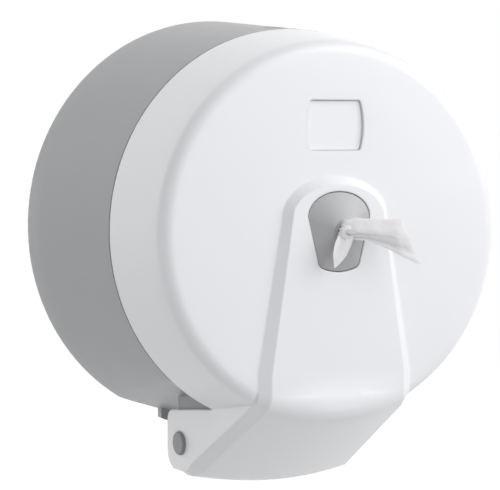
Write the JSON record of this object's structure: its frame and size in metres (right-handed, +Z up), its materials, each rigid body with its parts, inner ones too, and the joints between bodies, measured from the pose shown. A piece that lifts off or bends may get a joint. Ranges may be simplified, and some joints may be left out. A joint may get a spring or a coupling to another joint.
{
  "type": "centre-pull jumbo toilet roll dispenser",
  "caption": "Wall-mounted round centre-pull toilet tissue dispenser with a hinged white cover, a grey outlet nozzle, a cam lock and a jumbo roll inside.",
  "frame": {"origin": "on the drum's axis at the wall face", "axes": "+Y into the wall, -Y is the front, +X to the right seen from the front, +Z up"},
  "size_m": [0.2892, 0.2147, 0.3197],
  "materials": {
    "case_plastic": "satin grey moulding",
    "cover_plastic": "glossy white moulding",
    "nozzle_plastic": "satin silver-grey moulding",
    "inner_plastic": "plain moulding",
    "badge_plastic": "smooth bare plate",
    "tissue": "crinkled tissue paper",
    "steel": "zinc plated",
    "lock_metal": "plated die casting"
  },
  "bodies": {
    "case": {"rear_case": "case_plastic", "hinge_pin_left": "case_plastic", "hinge_pin_right": "case_plastic", "pin_clips": "steel", "roll_cradle": "inner_plastic", "cradle_screws": "steel", "paper_roll": "tissue", "lock_housing": "lock_metal", "lock_nut": "lock_metal"},
    "cover": {"front_cover": "cover_plastic", "outlet_nozzle": "nozzle_plastic", "paper_guide": "inner_plastic", "nozzle_screws": "steel", "badge_plate": "badge_plastic", "tissue_tail": "tissue", "lock_catch": "steel", "catch_screws": "steel"},
    "lock": {"lock_barrel": "lock_metal", "lock_cam": "steel", "cam_screw": "steel"}
  },
  "joints": [
    {"name": "cover_hinge", "type": "hinge", "parent": "case", "child": "cover", "pos_m": [0, -0.079, -0.1475], "axis": [1, 0, 0], "range_deg": [0, 95]},
    {"name": "lock_turn", "type": "hinge", "parent": "case", "child": "lock", "pos_m": [0, -0.104, 0.125], "axis": [0, 0, -1], "range_deg": [0, 90]}
  ]
}
